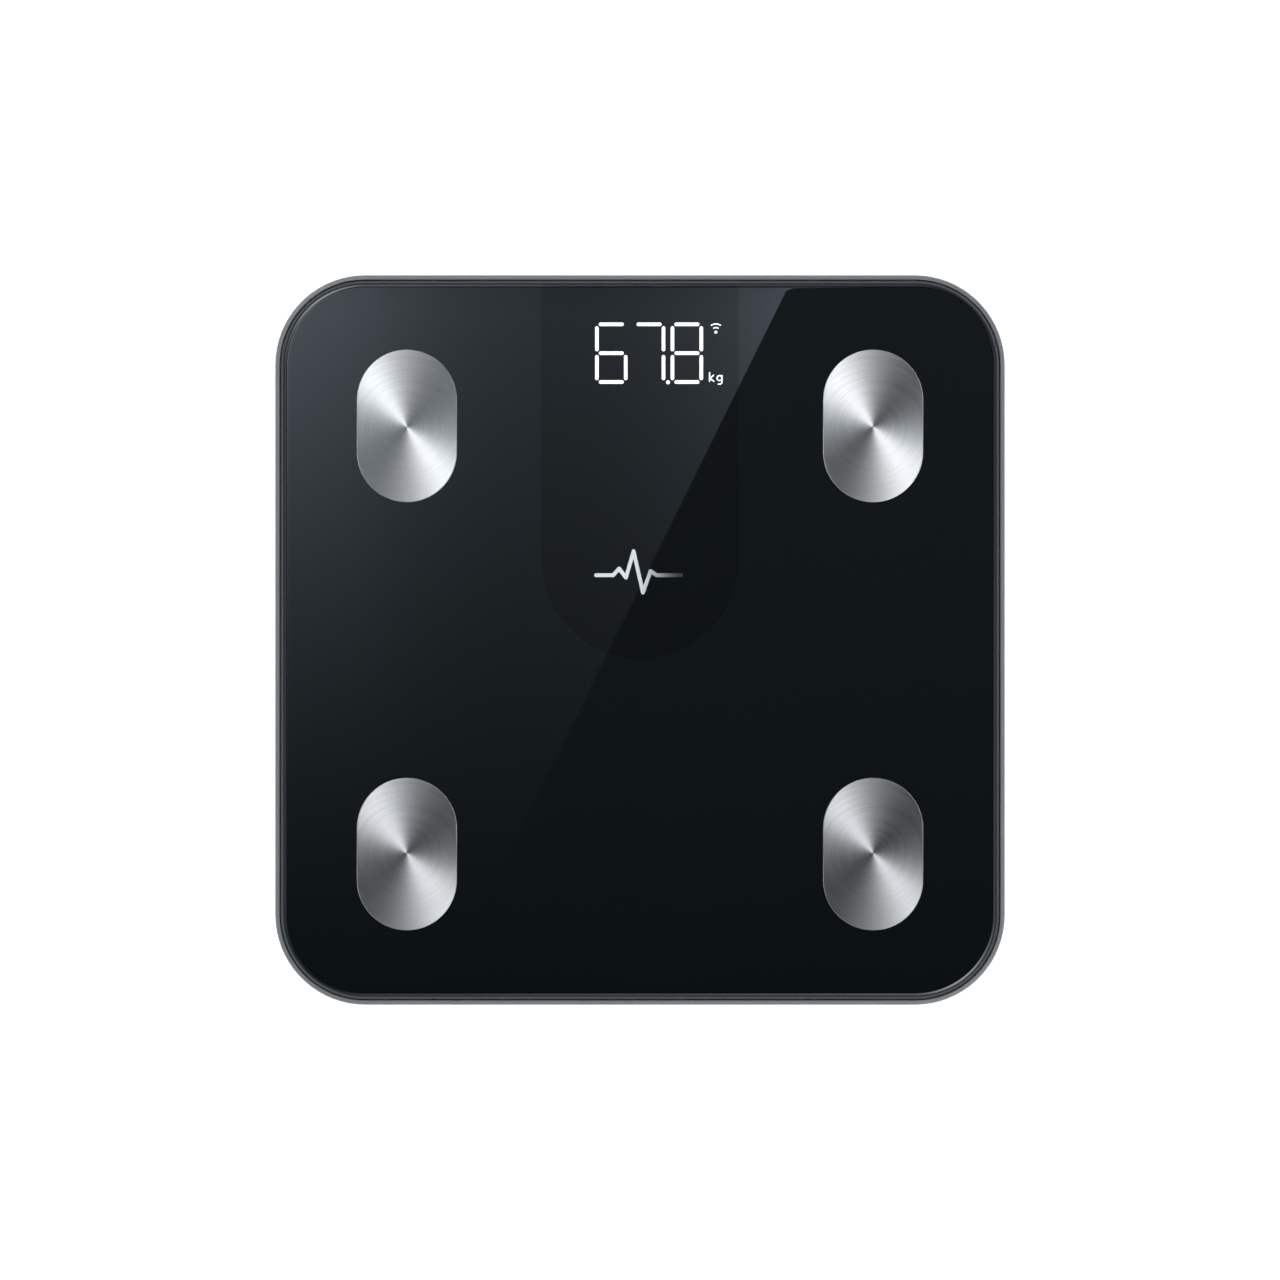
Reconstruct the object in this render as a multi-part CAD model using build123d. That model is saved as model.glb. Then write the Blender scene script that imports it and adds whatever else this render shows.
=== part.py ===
from build123d import *

import os
from math import atan2, ceil, degrees, radians, sin, tan

# Digital bathroom scale. A square sheet of toughened glass lies in a slim frame on a moulded tray. Each
# corner of the tray has a pocket with a load cell and a foot under it. Four steel electrodes are bolted
# through the glass. An LED display, its circuit board and a battery bay lie under the rear half.
# Frame: X to the right, Y to the rear edge where the display is, Z up. The origin is on the floor under
# the centre of the platform. All sizes are in millimetres.

# ---- Platform, frame and tray
SIDE = 280.0  # outer side of the square frame
CORNER_R = 34.5  # outer corner radius of the frame
GLASS_T = 5.0
GLASS_EDGE_R = 1.6  # rounding of the platform's top edge
GLASS_ARRIS = 0.4  # chamfer of the platform's lower edge
RIM_T = 1.75  # wall of the frame round the glass
RIM_GAP = 0.4  # between the frame's wall and the glass
RIM_DROP = 0.9  # top of the frame's wall, under the glass surface
RIM_ROUND = 1.2  # rounding of the wall's outer top edge
LEDGE_W = 8.0  # flange of the frame that carries the glass
LEDGE_T = 1.8
SKIRT_H = 1.4  # overlap of the frame's skirt on the tray's lip
LAP_GAP = 0.1  # between skirt and lip
LIP_T = 2.0
TAPE_T = 0.8  # foam tape under the glass
TAPE_W = 6.0
TAPE_EDGE = 1.0  # from the glass edge to the tape
FOOT_CLEARANCE = 4.0  # underside of the tray, over the floor
FLOOR_T = 2.6
WALL_T = 2.2
FLARE = 9.0  # how far the tray's side leans out from bottom to top
RECESS_L = 64.0  # shallow panel in the underside, in front of the door
RECESS_W = 38.0
RECESS_R = 3.0
RECESS_DEPTH = 0.4
RECESS_Y = -34.0
TRAY_ROUND = 1.6  # rounding of the tray's lower edge
RIB_T = 1.5
RIB_H = 4.6
GUSSET_PITCH = 24.0

# ---- Feet and load cells
FOOT_INSET = 40.0  # foot centre, from both outer sides
PAD_R = 15.0
PAD_T = 2.0
PAD_ROUND = 0.5
PAD_GROOVE_R = (5.0, 10.0)
PAD_GROOVE_W = 0.7
PAD_GROOVE_DEPTH = 0.5
PAD_SEAT = 0.8  # depth of the pad's seat in the cup
PAD_SEAT_GAP = 0.15
CUP_R = 17.5
CUP_FLOOR_T = 1.2
CUP_WELL_R = 12.0  # hollow under the cell's tongue
CUP_FLANGE_OVER = 2.5  # flange beyond the cup's side
CUP_FLANGE_T = 1.2
CUP_FLANGE_LIFT = 0.4  # flange over the retainer
CUP_WALL_INSET = 1.1  # cup's upper wall, inside the flange's edge
CUP_CELL_GAP = 0.35
RETAINER_T = 1.6
RETAINER_GAP = 0.1
RUN_GAP = 0.5  # between a foot and what it moves in
CELL_SIDE = 28.0
CELL_CHAMFER = 5.0
CELL_T = 1.2
CELL_RAIL = 5.0  # width of the cell's outer rails
TONGUE_W = 8.0
TONGUE_END_W = 12.0
TONGUE_END_L = 7.0
TONGUE_REACH = 5.0  # tongue end, beyond the foot centre
GAUGE_L = 4.0
GAUGE_W = 5.0
GAUGE_T = 0.25
GAUGE_GAP = 0.7  # between gauge and boss
CELL_SEAT_Z = 4.4  # underside of the cell, over the underside of the tray
BOSS_R = 3.5
BOSS_OFF = 1.0  # boss, in front of the foot centre
POCKET_CEILING = 8.0  # over the underside of the tray
POCKET_ROOF_T = 2.0
POCKET_WALL = 2.0
SUPPORT_R = 13.0  # ring on each pocket that carries the glass
SUPPORT_T = 2.5

# ---- Electrodes
ELECTRODE_INSET_X = 50.7  # electrode centre, from the outer side
ELECTRODE_INSET_Y = 58.0
ELECTRODE_W = 38.4
ELECTRODE_L = 58.4
ELECTRODE_T = 0.7
ELECTRODE_ROUND = 0.3
GASKET_T = 0.2
GASKET_INSET = 0.8
STUD_R = 2.0
STUD_OUT = 2.6  # stud beyond the lower face of the glass
STUD_HOLE_R = 2.4
TERMINAL_R = 4.5
TERMINAL_T = 0.4
TERMINAL_TAIL = 7.0
TERMINAL_TAIL_W = 3.0
NUT_R = 3.4
NUT_H = 1.5
THREAD_GAP = 0.05

# ---- Batteries, bay and door
BATTERY_D = 10.5
BATTERY_L = 44.5
BATTERY_COUNT = 3
BATTERY_SPACE = 0.6  # between two batteries
BATTERY_ROUND = 0.5
NUB_R = 1.9
NUB_L = 1.0
BAY_INSET = 100.0  # bay centre, from the rear side
BAY_SIDE_GAP = 0.5  # from the outer batteries to the bay's walls
BAY_WALL = 1.5
BAY_ROOF_T = 1.2
BAY_AIR = 0.9  # from the bay's roof to the level of the ledge
SEAT_GAP = 0.3  # batteries over the door
TOP_GAP = 0.5  # roof over the batteries
PLATE_T = 0.4
PLATE_W = 8.0
PLATE_H = 8.0
PLATE_GAP = 0.05
SPRING_LENGTH = 5.6
SPRING_WIRE = 0.6
SPRING_R = 3.0
SPRING_TURNS = 4
DOOR_T = 1.8
DOOR_MARGIN = 3.0  # door beyond the bay, on each side
DOOR_GAP = 0.3
DOOR_CORNER_R = 3.0
DOOR_TOP_GAP = 0.1
HINGE_GAP = 1.0  # door to tray along the hinge, so that the edge can swing
HINGE_LIP = 0.8  # thickness of the tray's lip under the tabs
TAB_W = 8.0
TAB_REACH = 2.0  # tab beyond the hinge line
TAB_SIDE = 18.0  # tab centre, from the middle of the door
TAB_LIFT = 0.3  # tab over the lip
TAB_SIDE_GAP = 0.3
TAB_END_GAP = 0.4
TAB_SWING = 1.7  # room above the floor behind the hinge line, for the tab to turn in
LATCH_W = 12.0
LATCH_SLOT = 1.0  # width of the two slots that free the latch
LATCH_L = 7.0
LATCH_BUMP = 0.2
SCOOP_R = 9.0
SCOOP_DEPTH = 1.4
GRIP_COUNT = 5  # grooves across the latch
GRIP_PITCH = 1.6
GRIP_W = 0.8
GRIP_DEPTH = 0.4
GRIP_EDGE = 2.0  # first groove, from the door's rear edge

# ---- Display and circuit board
DISPLAY_INSET = 29.6  # centre of the digits, from the rear side
DIGIT_COUNT = 4
DIGIT_SPACE = 3.45  # between the middles of two digits' nearest bars
LAST_DIGIT_X = 18.05
BAR_SPAN = 11.1  # from one bar's middle to the next, across and along a digit
BAR_END_GAP = 1.5  # bar shorter than the span
BAR_W = 1.35
DOT_DROP = 0.1  # decimal point, under the middle of the lowest bar
DOT_R = 0.75
LIT_BARS = ("", "acdefg", "abc", "abcdefg")  # bars that are lit, digit by digit
ICON_SPACE = 5.6  # icons' middle, beyond the last digit's bars
ICON_TOP_DROP = 1.3  # wireless mark, under the top bar
ICON_LOW_RISE = 1.5  # unit letters, over the lowest bar
ICON_STROKE = 0.46
WAVE_R = (1.75, 3.15)  # arcs of the wireless mark
WAVE_SPREAD = 50.0  # half of the angle that they span
WAVE_DOT_R = 0.55
WAVE_DROP = 1.7  # centre of the arcs, under the middle of the mark
K_STEM = ((-2.4, 2.1), (-2.4, -1.2))  # strokes of the unit letters, from the icon's middle
K_ARMS = ((-0.9, 1.1), (-2.3, -0.1), (-0.8, -1.2))
G_BOWL = (1.4, 0.0)
G_BOWL_R = 0.95
G_TAIL = ((2.35, 1.0), (2.35, -1.7), (1.8, -2.3), (0.9, -2.3))
LED_SIDE_MARGIN = 3.85  # block beyond the bars' middles
LED_END_MARGIN = 3.4
LED_H = 8.0
LED_LIP_T = 0.6  # foam gasket between the display and the glass
LED_GASKET_W = 1.6
BAR_DEPTH = 5.0
BAR_GAP = 0.05
PCB_T = 1.6
PCB_SIDE = 7.0  # board beyond the display, at each end
PCB_REAR = 2.5  # board beyond the display, at the rear
PCB_STRIP = 12.5  # board in front of the display
PCB_CORNER_R = 1.5
POST_R = 3.0
POST_EDGE = 4.0  # post centre, from the board's edges
SCREW_R = 1.0
SCREW_LENGTH = 4.2
SCREW_HEAD_R = 1.9
SCREW_HEAD_H = 1.2
SCREW_HOLE_GAP = 0.2
PILOT_GAP = 0.05
CONNECTOR_L = 6.0
CONNECTOR_W = 5.0
CONNECTOR_H = 3.0
CONNECTOR_PITCH = 7.0
CONNECTOR_OFF = -0.2  # middle of the row of connectors, from the board centre
CONNECTOR_ROW = 4
CHIPS = ((-24, 7.0, 7.0, 0.9), (-12, 9.9, 3.9, 1.5), (2, 4.9, 3.9, 1.4), (9, 3.2, 2.5, 0.8))  # x and sizes
CHIP_EDGE = 6.0  # chips' middle, from the board's front edge
SMALL_SIZE = (1.6, 0.8, 0.6)  # resistors and capacitors
SMALL_COUNT = 12
SMALL_PITCH = 3.5
SMALL_START = -32.0
SMALL_EDGE = 1.6
MODULE_X = 24.0
MODULE_EDGE = 5.5
MODULE_L = 15.0
MODULE_W = 9.0
MODULE_T = 0.8
CAN_OFF = -2.0  # can, from the module's middle
CAN_L = 9.0
CAN_W = 8.0
CAN_H = 1.4

# ---- Unit button
BUTTON_X = 28.0
BUTTON_EDGE = 5.5  # from the board's front edge
BUTTON_R = 3.9
BUTTON_GAP = 0.3
BUTTON_SINK = 0.2  # face under the tray's surface
BUTTON_FLANGE_R = 5.2
BUTTON_FLANGE_T = 0.5
BUTTON_LIFT = 0.1  # flange over the floor
BUTTON_TRAVEL = 0.5
BUTTON_DISH_R = 9.0
BUTTON_DISH = 0.5
COLLAR_T = 1.2
COLLAR_H = 1.4
SWITCH_W = 6.0
SWITCH_H = 1.8
PLUNGER_R = 1.6
PLUNGER_GAP = 0.15
PLUNGER_IN = 1.0  # plunger inside the switch

# ---- Leads
LEAD_R = 0.7
LEAD_LIFT = 0.1  # lead over the floor
LANE_PITCH = 3.0
LEAD_ARC_SHARE = 0.45  # of the shorter run, at each bend
LEAD_SLOT_W = 4.0
LEAD_SLOT_H = 1.9
LEAD_CEILING_GAP = 0.1
CONNECTOR_ENTRY = 0.6  # lead's end, over the lower face of its connector
CELL_LEAD_OUT = 2.0  # straight run of a load cell's lead beyond the pocket's wall
CELL_LEAD_FALL = 11.0  # from the wall to where it reaches the floor
CELL_LEAD_STEP = 2.0  # towards the rear on the way down
CELL_LEAD_REAR = 18.0  # from the wall to the turn towards the board, at the rear
CELL_LEAD_ENTRY = 16.0  # from the gauge to the start of the lane, at the front
CELL_LEAD_EXIT = 14.0  # end of the lane, in front of the connector
CELL_LEAD_TURN = 5.0
ELECTRODE_LEAD_FALL = (9.0, 7.0)  # along X and Y, down to the floor
ELECTRODE_LEAD_EXIT = 9.0
ELECTRODE_LEAD_TURN = 7.0

# ---- Levels over the floor
TRAY_Z = FOOT_CLEARANCE
FLOOR_Z = TRAY_Z + FLOOR_T
DOOR_TOP = TRAY_Z + DOOR_T
BATTERY_Z = DOOR_TOP + SEAT_GAP + BATTERY_D / 2
BAY_CEILING = BATTERY_Z + BATTERY_D / 2 + TOP_GAP
LEDGE_TOP = BAY_CEILING + BAY_ROOF_T + BAY_AIR
LEDGE_Z = LEDGE_TOP - LEDGE_T
SKIRT_Z = LEDGE_Z - SKIRT_H
GLASS_Z = LEDGE_TOP + TAPE_T
GLASS_TOP = GLASS_Z + GLASS_T
RIM_TOP = GLASS_TOP - RIM_DROP
CELL_Z = TRAY_Z + CELL_SEAT_Z
CELL_TOP = CELL_Z + CELL_T
CEILING_Z = TRAY_Z + POCKET_CEILING
ROOF_Z = CEILING_Z + POCKET_ROOF_T
LED_TOP = GLASS_Z - LED_LIP_T
PCB_TOP = LED_TOP - LED_H
PCB_Z = PCB_TOP - PCB_T
LEAD_Z = FLOOR_Z + LEAD_LIFT + LEAD_R
LEAD_END_Z = PCB_Z - CONNECTOR_H + CONNECTOR_ENTRY

# ---- Places in plan
HALF = SIDE / 2
CORNERS = {"rear_left": (-1, 1), "rear_right": (1, 1), "front_left": (-1, -1), "front_right": (1, -1)}
FOOT_AT = HALF - FOOT_INSET
ELECTRODE_AT = (HALF - ELECTRODE_INSET_X, HALF - ELECTRODE_INSET_Y)
DISPLAY_Y = HALF - DISPLAY_INSET
DIGIT_PITCH = BAR_SPAN + DIGIT_SPACE
BAR_L = BAR_SPAN - BAR_END_GAP
DOT_AT = (LAST_DIGIT_X - DIGIT_PITCH / 2, DISPLAY_Y - BAR_SPAN - DOT_DROP)
ICON_X = LAST_DIGIT_X + BAR_SPAN / 2 + ICON_SPACE
ICON_TOP_Y = DISPLAY_Y + BAR_SPAN - ICON_TOP_DROP
ICON_LOW_Y = DISPLAY_Y - BAR_SPAN + ICON_LOW_RISE
LED_L = 2 * ((DIGIT_COUNT - 1) * DIGIT_PITCH - LAST_DIGIT_X + BAR_SPAN / 2 + LED_SIDE_MARGIN)
LED_W = 2 * (BAR_SPAN + LED_END_MARGIN)
PCB_L = LED_L + 2 * PCB_SIDE
PCB_W = LED_W + PCB_REAR + PCB_STRIP
PCB_Y = DISPLAY_Y - (PCB_STRIP - PCB_REAR) / 2
BUTTON_Y = PCB_Y - PCB_W / 2 + BUTTON_EDGE
BAY_Y = HALF - BAY_INSET
CUP_FLANGE_R = CUP_R + CUP_FLANGE_OVER
POCKET_R = CUP_FLANGE_R + RUN_GAP
BATTERY_PITCH = BATTERY_D + BATTERY_SPACE
BAY_L = BATTERY_L + SPRING_LENGTH + 2 * (PLATE_T + PLATE_GAP)
BAY_W = (BATTERY_COUNT - 1) * BATTERY_PITCH + BATTERY_D + 2 * BAY_SIDE_GAP
DOOR_L = BAY_L + 2 * DOOR_MARGIN
DOOR_W = BAY_W + 2 * DOOR_MARGIN
HINGE_Y = BAY_Y - DOOR_W / 2 - HINGE_GAP
HINGE_Z = TRAY_Z + HINGE_LIP
GLASS_SIDE = SIDE - 2 * (RIM_T + RIM_GAP)
GLASS_R = CORNER_R - RIM_T - RIM_GAP
LANE_X = (PCB_L / 2 + FOOT_AT - POCKET_R - POCKET_WALL) / 2


def slab(sketch, low, high):
    """The sketch as a solid between two levels."""
    return Pos(0, 0, low) * extrude(sketch, high - low)


def rounded(side, radius):
    """A square with rounded corners."""
    return RectangleRounded(side, side, radius)


def disc(x, y, radius, low, high):
    """An upright cylinder between two levels."""
    return slab(Pos(x, y) * Circle(radius), low, high)


def block(x, y, length, width, low, high):
    """An upright box between two levels, centred in plan."""
    return slab(Pos(x, y) * Rectangle(length, width), low, high)


def flared(side, radius, low, high, lean):
    """A rounded square block whose sides lean out by lean from low to high."""
    angle = degrees(atan2(lean, high - low))
    return extrude(Pos(0, 0, low) * rounded(side, radius), high - low, taper=-angle)


def edges_at(shape, z, tolerance=0.01):
    """The edges that lie in one level plane."""
    return shape.edges().filter_by_position(Axis.Z, z - tolerance, z + tolerance)


def place(parts, name, shape):
    """Adds one node to the dictionary of parts."""
    parts[name] = shape


# ---------------------------------------------------------------- platform and frame
def glass_platform():
    """The glass sheet, with a hole for each electrode's stud."""
    sheet = slab(rounded(GLASS_SIDE, GLASS_R), GLASS_Z, GLASS_TOP)
    sheet = fillet(edges_at(sheet, GLASS_TOP), GLASS_EDGE_R)
    sheet = chamfer(edges_at(sheet, GLASS_Z), GLASS_ARRIS)
    x, y = ELECTRODE_AT
    holes = [disc(sx * x, sy * y, STUD_HOLE_R, GLASS_Z - 1, GLASS_TOP + 1) for sx, sy in CORNERS.values()]
    return sheet - holes


def rim_frame():
    """The frame: a wall round the glass, a ledge under it and a skirt over the tray's lip."""
    outer = slab(rounded(SIDE, CORNER_R), SKIRT_Z, RIM_TOP)
    outer = fillet(edges_at(outer, RIM_TOP), RIM_ROUND)
    bed = slab(rounded(SIDE - 2 * RIM_T, CORNER_R - RIM_T), LEDGE_TOP, RIM_TOP + 1)
    inside = RIM_T + LEDGE_W
    window = slab(rounded(SIDE - 2 * inside, CORNER_R - inside), SKIRT_Z - 1, RIM_TOP)
    under = slab(rounded(SIDE - 2 * RIM_T, CORNER_R - RIM_T), SKIRT_Z - 1, LEDGE_Z)
    return outer - bed - window - under


def glass_tape():
    """The ring of foam tape that bonds the glass to the ledge."""
    outer = rounded(GLASS_SIDE - 2 * TAPE_EDGE, GLASS_R - TAPE_EDGE)
    inset = TAPE_EDGE + TAPE_W
    inner = rounded(GLASS_SIDE - 2 * inset, GLASS_R - inset)
    return slab(outer - inner, LEDGE_TOP, GLASS_Z)


def support_pads():
    """Foam rings between the pockets and the glass, one over each foot."""
    ring = Circle(SUPPORT_R) - Circle(SUPPORT_R - SUPPORT_T)
    return Compound(
        [slab(Pos(sx * FOOT_AT, sy * FOOT_AT) * ring, LEDGE_TOP, GLASS_Z) for sx, sy in CORNERS.values()]
    )


# ---------------------------------------------------------------- tray
def tray_outline():
    """The tray's outer form: a leaning side with a lip that fits into the frame's skirt."""
    low = flared(SIDE - 2 * FLARE, CORNER_R - FLARE, TRAY_Z, SKIRT_Z, FLARE)
    low = fillet(edges_at(low, TRAY_Z), TRAY_ROUND)
    inset = RIM_T + LAP_GAP
    return low + slab(rounded(SIDE - 2 * inset, CORNER_R - inset), SKIRT_Z, LEDGE_Z)


def tray_hollow():
    """The room inside the tray. It leans with the side and then stands upright inside the lip."""
    inset = RIM_T + LAP_GAP + LIP_T
    slope = FLARE / (SKIRT_Z - TRAY_Z)
    low_inset = FLARE - slope * FLOOR_T + WALL_T
    lean = low_inset - inset
    bend = FLOOR_Z + lean / slope
    low = flared(SIDE - 2 * low_inset, CORNER_R - low_inset, FLOOR_Z, bend, lean)
    return low + slab(rounded(SIDE - 2 * inset, CORNER_R - inset), bend, LEDGE_Z + 1)


def gussets():
    """Upright ribs on the tray's sides, under the frame's ledge."""
    straight = SIDE - 2 * CORNER_R
    count = 2 * ceil(straight / GUSSET_PITCH / 2)
    reach = LEDGE_W + RIM_T
    found = []
    for side in range(4):
        for i in range(count + 1):
            along = straight * (i / count - 0.5)
            one = block(HALF - reach / 2, along, reach, RIB_T, FLOOR_Z, LEDGE_Z)
            found.append(Rot(0, 0, 90 * side) * one)
    return found


def floor_ribs():
    """Ribs between the pockets and in front of the battery bay."""
    top = FLOOR_Z + RIB_H
    ribs = [block(s * FOOT_AT, 0, RIB_T, 2 * FOOT_AT, FLOOR_Z, top) for s in (-1, 1)]
    ribs.append(block(0, -FOOT_AT, 2 * FOOT_AT, RIB_T, FLOOR_Z, top))
    front = HINGE_Y - TAB_REACH - 2 * RIB_T
    half_bay = BAY_L / 2 + BAY_WALL
    length = front + FOOT_AT
    for x in (-half_bay, 0, half_bay):
        ribs.append(block(x, front - length / 2, RIB_T, length, FLOOR_Z, top))
    for share in (1 / 3, 2 / 3, 1):
        ribs.append(block(0, -FOOT_AT + length * share, 2 * half_bay, RIB_T, FLOOR_Z, top))
    return ribs


def pocket_forms(sx, sy):
    """One foot pocket: the material to add, the hollow to cut, and the boss added last."""
    x, y = sx * FOOT_AT, sy * FOOT_AT
    outer = disc(x, y, POCKET_R + POCKET_WALL, TRAY_Z, ROOF_Z)
    ring = Pos(x, y) * (Circle(SUPPORT_R) - Circle(SUPPORT_R - SUPPORT_T))
    hollow = disc(x, y, POCKET_R, TRAY_Z - 1, CEILING_Z)
    slot = block(
        x - sx * (POCKET_R + POCKET_WALL / 2),
        y + gauge_y(),
        2 * POCKET_WALL + 2,
        LEAD_SLOT_W,
        CEILING_Z - LEAD_SLOT_H,
        CEILING_Z,
    )
    boss = disc(x, y - BOSS_OFF, BOSS_R, CELL_TOP, CEILING_Z)
    return [outer, slab(ring, ROOF_Z, LEDGE_TOP)], [hollow, slot], boss


def bay_forms():
    """The battery bay: its box, and the hollows for the batteries, the door and the door's tabs."""
    box = block(0, BAY_Y, BAY_L + 2 * BAY_WALL, BAY_W + 2 * BAY_WALL, FLOOR_Z, BAY_CEILING + BAY_ROOF_T)
    cuts = [block(0, BAY_Y, BAY_L, BAY_W, TRAY_Z - 1, BAY_CEILING)]
    rear = BAY_Y + DOOR_W / 2 + DOOR_GAP
    opening = RectangleRounded(DOOR_L + 2 * DOOR_GAP, rear - HINGE_Y, DOOR_CORNER_R)
    recess_top = DOOR_TOP + DOOR_TOP_GAP
    cuts.append(slab(Pos(0, (rear + HINGE_Y) / 2) * opening, TRAY_Z - 1, recess_top))
    front = HINGE_Y - TAB_REACH - TAB_END_GAP
    width = TAB_W + 2 * TAB_SIDE_GAP
    for s in (-1, 1):
        length = HINGE_Y + TAB_SWING - front
        cuts.append(block(s * TAB_SIDE, front + length / 2, width, length, HINGE_Z, FLOOR_Z + 1))
    scoop = disc(0, rear, SCOOP_R, TRAY_Z - 1, TRAY_Z + SCOOP_DEPTH)
    cuts.append(scoop)
    return box, cuts


def board_posts():
    """(x, y) of the four posts that carry the circuit board."""
    x, y = PCB_L / 2 - POST_EDGE, PCB_W / 2 - POST_EDGE
    return [(sx * x, PCB_Y + sy * y) for sx in (-1, 1) for sy in (-1, 1)]


def base_tray():
    """The lower casing, with its pockets, bay, ribs, posts and button hole."""
    outline = tray_outline()
    collar_in = BUTTON_FLANGE_R + BUTTON_GAP
    collar = disc(BUTTON_X, BUTTON_Y, collar_in + COLLAR_T, FLOOR_Z, FLOOR_Z + COLLAR_H)
    bay, cuts = bay_forms()
    added = [bay, collar, *floor_ribs()]
    added += [disc(x, y, POST_R, FLOOR_Z, PCB_Z) for x, y in board_posts()]
    cuts += [disc(x, y, SCREW_R + PILOT_GAP, FLOOR_Z, PCB_Z + 1) for x, y in board_posts()]
    cuts.append(disc(BUTTON_X, BUTTON_Y, collar_in, FLOOR_Z, FLOOR_Z + COLLAR_H + 1))
    cuts.append(disc(BUTTON_X, BUTTON_Y, BUTTON_R + BUTTON_GAP, TRAY_Z - 1, FLOOR_Z + 1))
    cuts.append(disc(BUTTON_X, BUTTON_Y, BUTTON_DISH_R, TRAY_Z - 1, TRAY_Z + BUTTON_DISH))
    panel = Pos(0, RECESS_Y) * RectangleRounded(RECESS_L, RECESS_W, RECESS_R)
    cuts.append(slab(panel, TRAY_Z - 1, TRAY_Z + RECESS_DEPTH))
    bosses = []
    for sx, sy in CORNERS.values():
        more, hollows, boss = pocket_forms(sx, sy)
        added += more
        cuts += hollows
        bosses.append(boss)
    ribs = Part() + gussets()
    shell = outline - tray_hollow() + (ribs & outline)
    return shell + added - cuts + bosses


# ---------------------------------------------------------------- feet
def gauge_y():
    """The strain gauge's middle, from the foot centre."""
    return BOSS_R - BOSS_OFF + GAUGE_GAP + GAUGE_L / 2


def foot_pad(x, y):
    """The soft disc that stands on the floor."""
    pad = disc(x, y, PAD_R, 0, PAD_T)
    pad = fillet(edges_at(pad, 0), PAD_ROUND)
    half = PAD_GROOVE_W / 2
    rings = [Circle(r + half) - Circle(r - half) for r in PAD_GROOVE_R]
    return pad - [slab(Pos(x, y) * ring, -1, PAD_GROOVE_DEPTH) for ring in rings]


def foot_cup(x, y):
    """The cup that holds the pad below and the load cell above."""
    low = PAD_T - PAD_SEAT
    flange_z = TRAY_Z + RETAINER_T + CUP_FLANGE_LIFT
    wall_r = CUP_FLANGE_R - CUP_WALL_INSET
    body = disc(x, y, CUP_R, low, CELL_Z)
    body += disc(x, y, CUP_FLANGE_R, flange_z, flange_z + CUP_FLANGE_T)
    body += disc(x, y, wall_r, flange_z, CELL_TOP)
    body -= disc(x, y, PAD_R + PAD_SEAT_GAP, low - 1, PAD_T)
    body -= disc(x, y, CUP_WELL_R, PAD_T + CUP_FLOOR_T, CELL_TOP + 1)
    return body - slab(Pos(x, y) * cell_outline(CUP_CELL_GAP), CELL_Z, CELL_TOP + 1)


def cell_outline(grow=0.0):
    """The load cell's square outline with cut corners, grown all round."""
    side = CELL_SIDE + 2 * grow
    return chamfer(Rectangle(side, side).vertices(), CELL_CHAMFER)


def load_cell(x, y):
    """The stamped steel cell: an outer frame and a tongue that the tray's boss presses on."""
    inner = CELL_SIDE / 2 - CELL_RAIL
    tongue_low = -TONGUE_REACH
    beam_l = inner - tongue_low
    beam = Pos(0, inner - beam_l / 2) * Rectangle(TONGUE_W, beam_l)
    end = Pos(0, tongue_low + TONGUE_END_L / 2) * Rectangle(TONGUE_END_W, TONGUE_END_L)
    plate = cell_outline() - Rectangle(2 * inner, 2 * inner) + beam + end
    return slab(Pos(x, y) * plate, CELL_Z, CELL_TOP)


def strain_gauge(x, y):
    """The coated gauge on the tongue's beam."""
    return block(x, y + gauge_y(), GAUGE_W, GAUGE_L, CELL_TOP, CELL_TOP + GAUGE_T)


def foot_retainer(x, y):
    """The ring pressed into the pocket's mouth, which keeps the foot in."""
    outer = disc(x, y, POCKET_R - RETAINER_GAP, TRAY_Z, TRAY_Z + RETAINER_T)
    outer = fillet(edges_at(outer, TRAY_Z), PAD_ROUND)
    return outer - disc(x, y, CUP_R + RUN_GAP, TRAY_Z - 1, TRAY_Z + RETAINER_T + 1)


def add_feet(parts):
    """Every piece of the four feet."""
    makers = {
        "foot_pad": foot_pad,
        "foot_cup": foot_cup,
        "load_cell": load_cell,
        "strain_gauge": strain_gauge,
        "foot_retainer": foot_retainer,
    }
    for corner, (sx, sy) in CORNERS.items():
        for name, make in makers.items():
            place(parts, f"{name}_{corner}", make(sx * FOOT_AT, sy * FOOT_AT))


# ---------------------------------------------------------------- electrodes
def stadium(length, width):
    """A slot outline that runs along Y."""
    return Rot(0, 0, 90) * SlotOverall(length, width)


def electrode(x, y):
    """A steel pad with a stud that goes through the glass."""
    low = GLASS_TOP + GASKET_T
    pad = slab(Pos(x, y) * stadium(ELECTRODE_L, ELECTRODE_W), low, low + ELECTRODE_T)
    pad = fillet(edges_at(pad, low + ELECTRODE_T), ELECTRODE_ROUND)
    return pad + disc(x, y, STUD_R, GLASS_Z - STUD_OUT, low)


def electrode_gasket(x, y):
    """The adhesive gasket between an electrode and the glass."""
    outline = stadium(ELECTRODE_L - 2 * GASKET_INSET, ELECTRODE_W - 2 * GASKET_INSET)
    return slab(Pos(x, y) * (outline - Circle(STUD_HOLE_R)), GLASS_TOP, GLASS_TOP + GASKET_T)


def electrode_terminal(x, y, toward):
    """A ring terminal under the glass, whose tail points along X."""
    low = GLASS_Z - TERMINAL_T
    tail = Pos(toward * TERMINAL_TAIL / 2, 0) * Rectangle(TERMINAL_TAIL, TERMINAL_TAIL_W)
    ring = Circle(TERMINAL_R) + tail - Circle(STUD_R + THREAD_GAP)
    return slab(Pos(x, y) * ring, low, GLASS_Z)


def electrode_nut(x, y):
    """The hexagonal nut on the stud."""
    top = GLASS_Z - TERMINAL_T
    hexagon = RegularPolygon(NUT_R, 6) - Circle(STUD_R + THREAD_GAP)
    return slab(Pos(x, y) * hexagon, top - NUT_H, top)


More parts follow.
